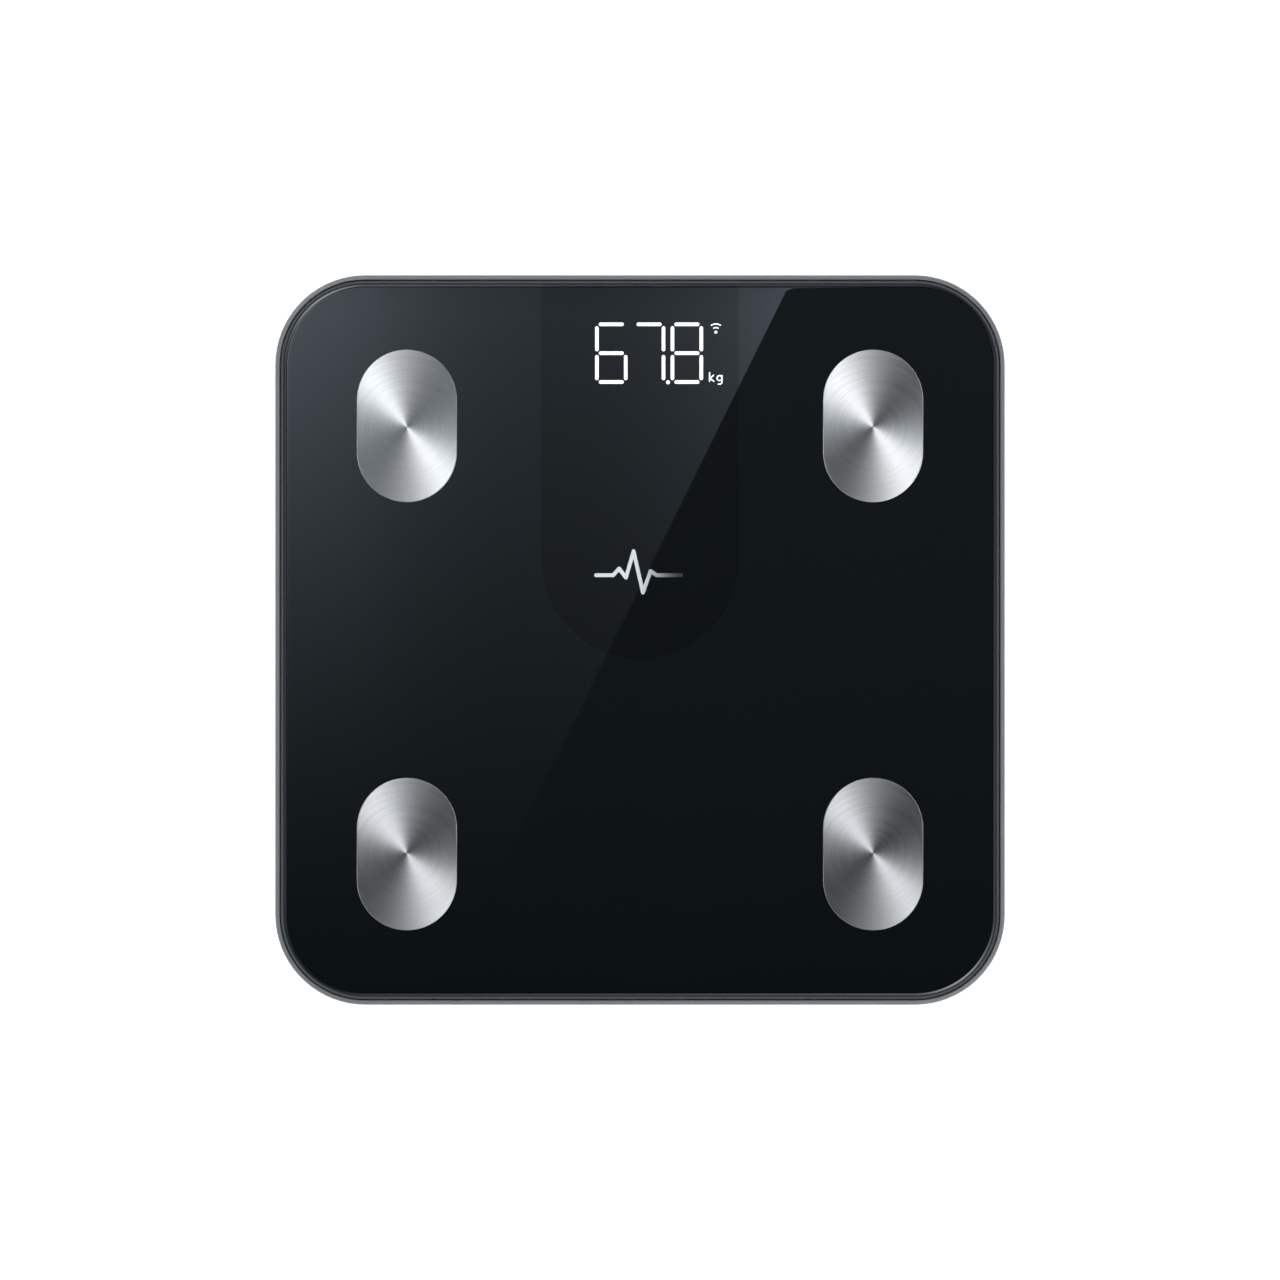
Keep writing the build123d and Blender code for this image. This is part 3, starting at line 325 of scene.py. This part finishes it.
def glass_material():
    """Toughened glass with black print on its back, a U-shaped display window in it and a ground edge."""
    m, g, bsdf = new_material("printed_glass")
    p = g.position()
    x, y, z = g.split(p)
    # the window: straight sides down from the rear edge and a round lower end
    below = g.math("MINIMUM", g.math("SUBTRACT", y, WINDOW_END_Y), 0.0)
    reach = g.math("SQRT", g.math("ADD", g.math("MULTIPLY", x, x), g.math("MULTIPLY", below, below)))
    inside = g.ramp(reach, WINDOW_HALF - WINDOW_SOFT, WINDOW_HALF + WINDOW_SOFT, 1.0, 0.0)
    on_face = g.ramp(z, GLASS_TOP - 0.0003, GLASS_TOP - 0.0001)
    g.link(g.ramp(g.math("MULTIPLY", inside, on_face), 0.0, 1.0, 1.0, WINDOW_ALPHA), bsdf.inputs["Alpha"])
    # the rounded edge is ground and duller the further it drops from the face; its grey is partly the ground
    # frosting and partly a painted highlight on the roll-over
    drop = g.ramp(z, GLASS_TOP - ROLL_H, GLASS_TOP - 0.00002, 1.0, 0.0)
    ink = g.mix(g.noise(p, 25.0, 3.0), INK_DARK, INK_PALE)
    g.link(g.mix(g.math("POWER", drop, 1.5), ink, EDGE_FROST_AND_HIGHLIGHT), bsdf.inputs["Base Color"])
    polish = g.ramp(g.noise(p, 14.0, 5.0, 0.6), 0.35, 0.75, 0.002, 0.010)
    satin = g.ramp(drop, 0.0, 0.4, 0.0, 1.0, True)
    g.link(g.math("MULTIPLY_ADD", satin, EDGE_SATIN, polish), bsdf.inputs["Roughness"])
    bsdf.inputs["IOR"].default_value = GLASS_IOR
    bsdf.inputs["Specular IOR Level"].default_value = 0.5
    return m


def build_glass():
    """The sheet: a flat top that rolls over at the edge, upright sides and a small arris below."""
    lean = math.degrees(math.atan(ROLL_POWER * ROLL_H / ROLL_W))
    nose_z = GLASS_TOP - ROLL_H - NOSE_R * math.sin(math.radians(90 - lean))
    profile = [(0.0006, GLASS_LOW), (ARRIS, GLASS_LOW), (0.0, GLASS_LOW + ARRIS)]
    nose_steps, roll_steps = 4, 16
    for k in range(nose_steps + 1):
        a = math.radians((90 - lean) * k / nose_steps)
        profile.append((NOSE_R * (1 - math.cos(a)), nose_z + NOSE_R * math.sin(a)))
    start = profile[-1][0]
    for k in range(1, roll_steps + 1):
        share = k / roll_steps
        profile.append((start + ROLL_W * share, GLASS_TOP - ROLL_H * (1 - share) ** ROLL_POWER))
    profile.append((start + ROLL_W + 0.0010, GLASS_TOP))
    loops = [rounded_loop(GLASS_HALF - d, GLASS_R - d, z, 40) for d, z in profile]
    o = lofted("glass_sheet", loops, cap_first=False, angle=40)
    add_piece(o, glass_material(), ["glass_platform"])


def build_print():
    """The opaque ink on the back of the glass, open over the display."""
    low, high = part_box("display_gasket")
    cx, cy = (low[0] + high[0]) / 2, (low[1] + high[1]) / 2
    overlap, edge, unit = 0.0012, 0.0005, 0.01
    hx, hy = (high[0] - low[0]) / 2 - overlap, (high[1] - low[1]) / 2 - overlap
    z = GLASS_LOW + PRINT_LIFT
    outer = rounded_loop(GLASS_HALF - edge, GLASS_R - edge, z, 12)
    square = rounded_loop(unit, 0.0002, z, 12)
    inner = [(cx + hx * x / unit, cy + hy * y / unit, z) for x, y, _ in square]
    m, g, bsdf = new_material("back_print")
    dots = g.cells(g.position(), 1500.0)
    g.link(g.mix(dots, (0.0012, 0.0013, 0.0014), (0.0020, 0.0022, 0.0024)), bsdf.inputs["Base Color"])
    bsdf.inputs["Roughness"].default_value = 0.9
    bsdf.inputs["Specular IOR Level"].default_value = 0.1
    add_piece(lofted("back_print", [outer, inner], False, False), m)


# ---------------------------------------------------------------- pulse line
MARK_X, MARK_Y = (-0.0168, 0.0158), (0.0182, 0.0340)
MARK_STROKE = 0.00145
MARK_GLARE_FADE = (-0.004, 0.0155)  # where the painted glare starts and ends its fade from white to grey
MARK_SHAPE = (
    (0.0, 0.42), (0.20, 0.42), (0.27, 0.58), (0.35, 0.36), (0.44, 1.0),
    (0.55, 0.0), (0.64, 0.52), (0.71, 0.42), (1.0, 0.42),
)


def ribbon(name, points, width, z, steps=8):
    """A flat stroke of constant width as one outline, with round ends and round outer corners."""
    r = width / 2
    path = [Vector(p) for p in points]
    ways = [(b - a).normalized() for a, b in zip(path, path[1:])]

    def rounding(centre, facing, turn):
        return arc(centre.x, centre.y, r, math.degrees(facing), math.degrees(turn), steps)

    def one_side(corners, ways):
        """The right-hand side of a run, and the round end after it."""
        side = []
        for centre, before, after in zip(corners[1:-1], ways, ways[1:]):
            turn = math.atan2(before.x * after.y - before.y * after.x, before.dot(after))
            facing = math.atan2(before.y, before.x) - math.pi / 2
            if turn > 0:
                side += rounding(centre, facing, turn)
            else:
                inward, reach = facing + turn / 2, r / math.cos(turn / 2)
                side.append((centre.x + reach * math.cos(inward), centre.y + reach * math.sin(inward)))
        return side + rounding(corners[-1], math.atan2(ways[-1].y, ways[-1].x) - math.pi / 2, math.pi)

    outline = one_side(path, ways) + one_side(path[::-1], [-w for w in ways[::-1]])
    return mesh_object(name, [(x, y, z) for x, y in outline], [tuple(range(len(outline)))])


def build_mark():
    """White print with painted glare: white on the left, fading to a painted grey shade towards the right,
    with a faint screen texture.
    """
    (x0, x1), (y0, y1) = MARK_X, MARK_Y
    points = [(x0 + (x1 - x0) * u, y0 + (y1 - y0) * v) for u, v in MARK_SHAPE]
    m, g, bsdf = new_material("mark_print_painted_glare")
    p = g.position()
    # painted glare: the print is white where the glass's glare falls and painted grey beyond it
    painted_glare = g.ramp(g.split(p)[0], *MARK_GLARE_FADE, 0.0, 1.0, True)
    white = g.mix(g.ramp(g.cells(p, 2500.0), 0.0, 0.7), (0.82, 0.84, 0.86), (0.75, 0.77, 0.79))
    g.link(g.mix(painted_glare, white, (0.035, 0.038, 0.041)), bsdf.inputs["Base Color"])
    bsdf.inputs["Roughness"].default_value = 0.25
    add_piece(ribbon("pulse_mark", points, MARK_STROKE, GLASS_TOP + PRINT_LIFT), m)


# ---------------------------------------------------------------- electrodes
STEEL_DARK, STEEL_BRIGHT = (0.525, 0.52, 0.52), (0.70, 0.695, 0.69)
# painted light: each pad's steel colour is scaled, rear pads brighter than front ones, as lit and shaded
# copies of one material
PAD_PAINTED_LIGHT = {"rear_left": 0.75, "rear_right": 0.87, "front_left": 0.65, "front_right": 0.57}
PAD_LIFT = 0.0002  # underside of the pad, over the glass
PAD_ROLL = 0.0003  # rounding of its top edge
STUD_R = 0.002
SPIN_OFFSET = 0.0004  # centre of the spun grooves, from the pad's centre
GROOVE_DRIFT = 45.0  # how fast a groove changes along its round


def electrode_material(name, cx, cy, tone):
    """Spun stainless steel: fine circular grooves round the pad's middle, so highlights fan out from it. Its
    colour is scaled per pad by tone, which paints light and shade.
    """
    m, g, bsdf = new_material(name)
    centre = (cx, cy - math.copysign(SPIN_OFFSET, cy), 0.0)
    x, y, z = g.split(g.vmath("SUBTRACT", g.position(), centre))
    flat = g.join(x, y, 0.0)
    radius = g.vmath("LENGTH", flat, output="Value")
    g.link(g.vmath("NORMALIZE", flat), bsdf.inputs["Tangent"])
    around = g.math("MULTIPLY", x, GROOVE_DRIFT), g.math("MULTIPLY", y, GROOVE_DRIFT)
    rings = g.noise(g.join(g.math("MULTIPLY", radius, 5200.0), *around), 1.0, 2.0, 0.6)
    broad = g.noise(g.join(g.math("MULTIPLY", radius, 2300.0), *around), 1.0, 2.0, 0.5)
    grooves = g.math("ADD", g.math("MULTIPLY", rings, 0.5), g.math("MULTIPLY", broad, 0.5))
    # tone scales the steel's colour per pad: painted light and shade, not a difference in the steel
    dark, bright = shade(STEEL_DARK, tone), shade(STEEL_BRIGHT, tone)
    g.link(g.mix(g.ramp(grooves, 0.3, 0.7), dark, bright), bsdf.inputs["Base Color"])
    g.link(g.ramp(broad, 0.3, 0.7, 0.34, 0.40), bsdf.inputs["Roughness"])
    g.link(g.bump(rings, 0.10, 0.00002), bsdf.inputs["Normal"])
    bsdf.inputs["Metallic"].default_value = 1.0
    bsdf.inputs["Anisotropic"].default_value = 0.95
    return m


def build_electrode(corner):
    """The pad with a rolled edge, and its stud."""
    low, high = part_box(f"electrode_{corner}")
    cx, cy = (low[0] + high[0]) / 2, (low[1] + high[1]) / 2
    half_w, straight = (high[0] - low[0]) / 2, (high[1] - low[1] - high[0] + low[0]) / 2
    under, top = GLASS_TOP + PAD_LIFT, float(high[2])
    steps, roll_steps = 40, 6
    profile = [(0.0002, under), (0.0, under + 0.0001), (0.0, top - PAD_ROLL)]
    for k in range(1, roll_steps + 1):
        a = math.radians(90 * k / roll_steps)
        profile.append((PAD_ROLL * (1 - math.cos(a)), top - PAD_ROLL + PAD_ROLL * math.sin(a)))
    profile += [(0.00036, top), (0.0008, top)]
    loops = [stud_loop(cx, cy, STUD_R, z, steps) for z in (float(low[2]), under)]
    loops += [stadium_loop(cx, cy, half_w - d, straight, z, steps) for d, z in profile]
    material = electrode_material(f"electrode_steel_painted_light_{corner}", float(cx), float(cy), PAD_PAINTED_LIGHT[corner])
    o = lofted(f"electrode_pad_{corner}", loops, angle=40)
    add_piece(o, material, [f"electrode_{corner}"])


# ---------------------------------------------------------------- display
def glow_material():
    """Light guide that is lit from below: a soft, slightly uneven white glow."""
    m, g, bsdf = new_material("light_guide")
    clouds = g.noise(g.position(), 400.0, 2.0)
    g.link(g.mix(clouds, (0.75, 0.78, 0.8), (0.85, 0.87, 0.9)), bsdf.inputs["Base Color"])
    bsdf.inputs["Roughness"].default_value = 0.4
    bsdf.inputs["Emission Color"].default_value = (0.93, 0.97, 1.0, 1.0)
    bsdf.inputs["Emission Strength"].default_value = 6.5
    return m


# ---------------------------------------------------------------- CAD nodes
def at_corners(stem):
    return [f"{stem}_{corner}" for corner in CORNERS]


def paint_nodes():
    """Gives each CAD node that stays in view its material."""
    grey, black = (0.168, 0.172, 0.177), (0.012, 0.012, 0.013)
    coats = [
        (plastic("frame_plastic", grey, 0.32, grain=4000.0, bump=0.05, mottle=0.05, wear=0.04),
         ["rim_frame"]),
        (plastic("tray_plastic", (0.017, 0.018, 0.020), 0.48, grain=2200.0, bump=0.35, depth=0.00006),
         ["base_tray", "battery_door"] + at_corners("foot_retainer")),
        (plastic("cup_plastic", (0.022, 0.022, 0.024), 0.42), at_corners("foot_cup")),
        (plastic("button_plastic", (0.12, 0.125, 0.13), 0.38), ["unit_button"]),
        (plastic("foot_rubber", (0.028, 0.028, 0.030), 0.78, grain=1500.0, bump=0.3, mottle=0.2, spec=0.3),
         at_corners("foot_pad")),
        (foam("foam", black),
         ["glass_tape", "support_pads", "display_gasket"] + at_corners("electrode_gasket")),
        (metal("stamped_steel", (0.55, 0.55, 0.54), 0.34), at_corners("load_cell")),
        (metal("zinc_steel", (0.66, 0.67, 0.70), 0.22, streak=(400.0, 400.0, 400.0)),
         ["electrode_terminals", "electrode_nuts", "contact_springs", "contact_plates", "board_screws"]),
        (metal("module_can", (0.66, 0.67, 0.67), 0.35), ["wireless_module"]),
        (plastic("gauge_resin", (0.70, 0.68, 0.58), 0.3), at_corners("strain_gauge")),
        (plastic("board", (0.01, 0.09, 0.03), 0.28, grain=500.0, bump=0.05), ["main_board"]),
        (plastic("chip_plastic", black, 0.5), ["board_chips"]),
        (plastic("connector_plastic", (0.72, 0.70, 0.64), 0.4), ["lead_connectors"]),
        (plastic("display_black", (0.002, 0.002, 0.0022), 0.8, spec=0.15),
         ["tact_switch", "switch_plunger", "display_housing"]),
        (plastic("light_guide_off", (0.0022, 0.0023, 0.0025), 0.8, spec=0.15), ["display_bars_unlit"]),
        (plastic("lead_insulation", (0.30, 0.012, 0.010), 0.35, grain=900.0, bump=0.05),
         ["load_cell_leads"]),
        (plastic("electrode_lead_insulation", (0.02, 0.02, 0.022), 0.35, grain=900.0, bump=0.05),
         ["electrode_leads"]),
        (battery_material(), ["battery_1", "battery_2", "battery_3"]),
        (glow_material(), ["display_bars_lit", "display_icons"]),
    ]
    for material, names in coats:
        for name in names:
            NODES[name].data.materials.clear()
            NODES[name].data.materials.append(material)


# ---------------------------------------------------------------- studio
FLOOR_HALF = 6.0
FLOOR_Z = -0.00015  # just clear of the feet, so that the two faces don't flicker into each other
FLOOR_GLOW = 0.66
OUTLINE_Z = RIM_TOP - 0.0006  # where the frame is widest as the camera sees it
CAMERA_H = 1.364  # over that level
CARD_H = 1.9  # over the glass
CARD_K = 1 + CARD_H / CAMERA_H  # a spot on the glass mirrors the spot of the card this many times as far out
CARD_HALF = 0.20 * CARD_K


def square_panel(name, half, z, face, material):
    """A flat square of the studio, which is no part of the object."""
    me = bpy.data.meshes.new(name)
    me.from_pydata([(-half, -half, 0), (half, -half, 0), (half, half, 0), (-half, half, 0)], [], [face])
    me.materials.append(material)
    o = bpy.data.objects.new(name, me)
    o.location = (0, 0, z)
    bpy.context.scene.collection.objects.link(o)
    return o


def build_floor():
    m, g, bsdf = new_material("floor")
    bsdf.inputs["Base Color"].default_value = (0.78, 0.78, 0.78, 1)
    bsdf.inputs["Roughness"].default_value = 0.9
    bsdf.inputs["Specular IOR Level"].default_value = 0.1
    bsdf.inputs["Emission Color"].default_value = (1, 1, 1, 1)
    bsdf.inputs["Emission Strength"].default_value = FLOOR_GLOW
    # seen from underneath it is clear, so that the object's underside can be looked at
    both = g.node("ShaderNodeMixShader")
    g.link(g.node("ShaderNodeNewGeometry").outputs["Backfacing"], both.inputs[0])
    g.link(bsdf.outputs[0], both.inputs[1])
    g.link(g.node("ShaderNodeBsdfTransparent").outputs[0], both.inputs[2])
    g.link(both.outputs[0], g.tree.nodes["Material Output"].inputs[0])
    square_panel("floor", FLOOR_HALF, FLOOR_Z, (0, 1, 2, 3), m)


def glare_material():
    """Bright on one side of a slanting edge. Its numbers are millimetres on the glass that mirrors it."""
    m, g, bsdf = new_material("glare_card")
    g.tree.nodes.clear()
    x, y, z = g.split(g.vmath("MULTIPLY", g.position(), (1000 / CARD_K, 1000 / CARD_K, 0.0)))
    # the slanting edge runs from (59, 139) to (-12, -4)
    edge = g.math("SUBTRACT", x, g.math("MULTIPLY_ADD", y, 0.493, -10.0))
    lit = g.ramp(edge, -0.35, 0.35, 1.0, 0.0, True)
    # a glow along the left side, stronger towards the rear
    glow = g.math("EXPONENT", g.math("DIVIDE", g.math("ADD", x, 134.0), -45.0))
    glow = g.math("MULTIPLY", glow, g.ramp(x, -142.0, -100.0, 1.45, 2.12, True))
    glow = g.math("MULTIPLY", glow, g.math("POWER", g.ramp(y, -140.0, 125.0), 2.5))
    # a streak that fades away from the edge
    near = g.math("EXPONENT", g.math("DIVIDE", g.math("MINIMUM", edge, 0.0), 50.0))
    up = g.ramp(y, -90.0, 125.0)
    rise = g.math("MULTIPLY", g.math("POWER", up, 1.2), 0.20)
    rise = g.math("MULTIPLY_ADD", g.math("POWER", up, 4.0), 1.02, rise)
    streak = g.math("MULTIPLY", near, rise)
    # a haze over the whole sheet
    haze = g.math("POWER", g.ramp(y, -175.0, 125.0), 0.7)
    haze = g.math("MULTIPLY", haze, g.ramp(x, -150.0, 150.0, 0.15, 0.135))
    emission = g.node("ShaderNodeEmission")
    emission.inputs["Color"].default_value = (0.875, 1.025, 1.175, 1)
    g.link(g.math("MULTIPLY_ADD", g.math("ADD", glow, streak), lit, haze), emission.inputs["Strength"])
    g.link(emission.outputs[0], g.node("ShaderNodeOutputMaterial").inputs[0])
    return m


def build_glare_card():
    """A panel above the camera that the glass mirrors."""
    card = square_panel("glare_card", CARD_HALF, GLASS_TOP + CARD_H, (0, 3, 2, 1), glare_material())
    card.visible_camera = False  # it is there for reflections only


HORIZON, HORIZON_FALL = 2.6, 0.13  # glow near the horizon
TENT = 0.42
LOBES = ((127, 20.0, 0.92), (123, 4.0, 0.50), (170, 4.0, 0.12))  # azimuth, sharpness and strength
LOBE_RISE, LOBE_SET = (0.64, 0.78), (0.90, 0.975)  # heights where the lobes start and end
LOBE_POWER = 4.9
LENS, SENSOR = 100, 36


def build_world():
    """A soft white tent, dark at mid height, with bright lobes at a few azimuths for the steel's fans."""
    w = bpy.data.worlds.new("studio")
    bpy.context.scene.world = w
    w.use_nodes = True
    g = Graph(w.node_tree)
    x, y, z = g.split(g.node("ShaderNodeTexCoord").outputs["Generated"])
    height = g.math("MAXIMUM", z, 0.0)
    horizon = g.math("MULTIPLY", g.math("EXPONENT", g.math("DIVIDE", height, -HORIZON_FALL)), HORIZON)
    tent = g.math("MULTIPLY_ADD", g.math("SUBTRACT", 1.0, height), TENT, horizon)
    level = g.math("SQRT", g.math("MULTIPLY_ADD", x, x, g.math("MULTIPLY", y, y)))
    level = g.math("MAXIMUM", level, 0.001)
    lobes = 0.0
    for azimuth, sharpness, strength in LOBES:
        # how well a direction lines up with the azimuth or its opposite, from 0 to 1
        a = math.radians(azimuth)
        dot = g.math("MULTIPLY_ADD", x, math.cos(a), g.math("MULTIPLY", y, math.sin(a)))
        along = g.math("ABSOLUTE", g.math("DIVIDE", dot, level))
        lobes = g.math("MULTIPLY_ADD", g.math("POWER", along, sharpness), strength, lobes)
    rising = g.ramp(height, *LOBE_RISE, 0.0, 1.0, True)
    setting = g.ramp(height, *LOBE_SET, 1.0, 0.0, True)
    lobes = g.math("MULTIPLY", lobes, g.math("MULTIPLY", rising, setting))
    background = g.tree.nodes["Background"]
    background.inputs["Color"].default_value = (0.965, 1.0, 1.035, 1)
    g.link(g.math("MULTIPLY_ADD", lobes, LOBE_POWER, tent), background.inputs["Strength"])


def build_camera():
    """Straight above the middle, as in the photograph."""
    data = bpy.data.cameras.new("camera")
    data.lens = LENS
    data.sensor_width = SENSOR
    camera = bpy.data.objects.new("camera", data)
    camera.location = (0, 0, OUTLINE_Z + CAMERA_H)
    bpy.context.scene.collection.objects.link(camera)
    bpy.context.scene.camera = camera


# ---------------------------------------------------------------- build
build_glass()
build_print()
build_mark()
for corner in CORNERS:
    build_electrode(corner)
paint_nodes()
build_floor()
build_glare_card()
build_world()
build_camera()
bpy.context.scene.view_settings.view_transform = "Standard"
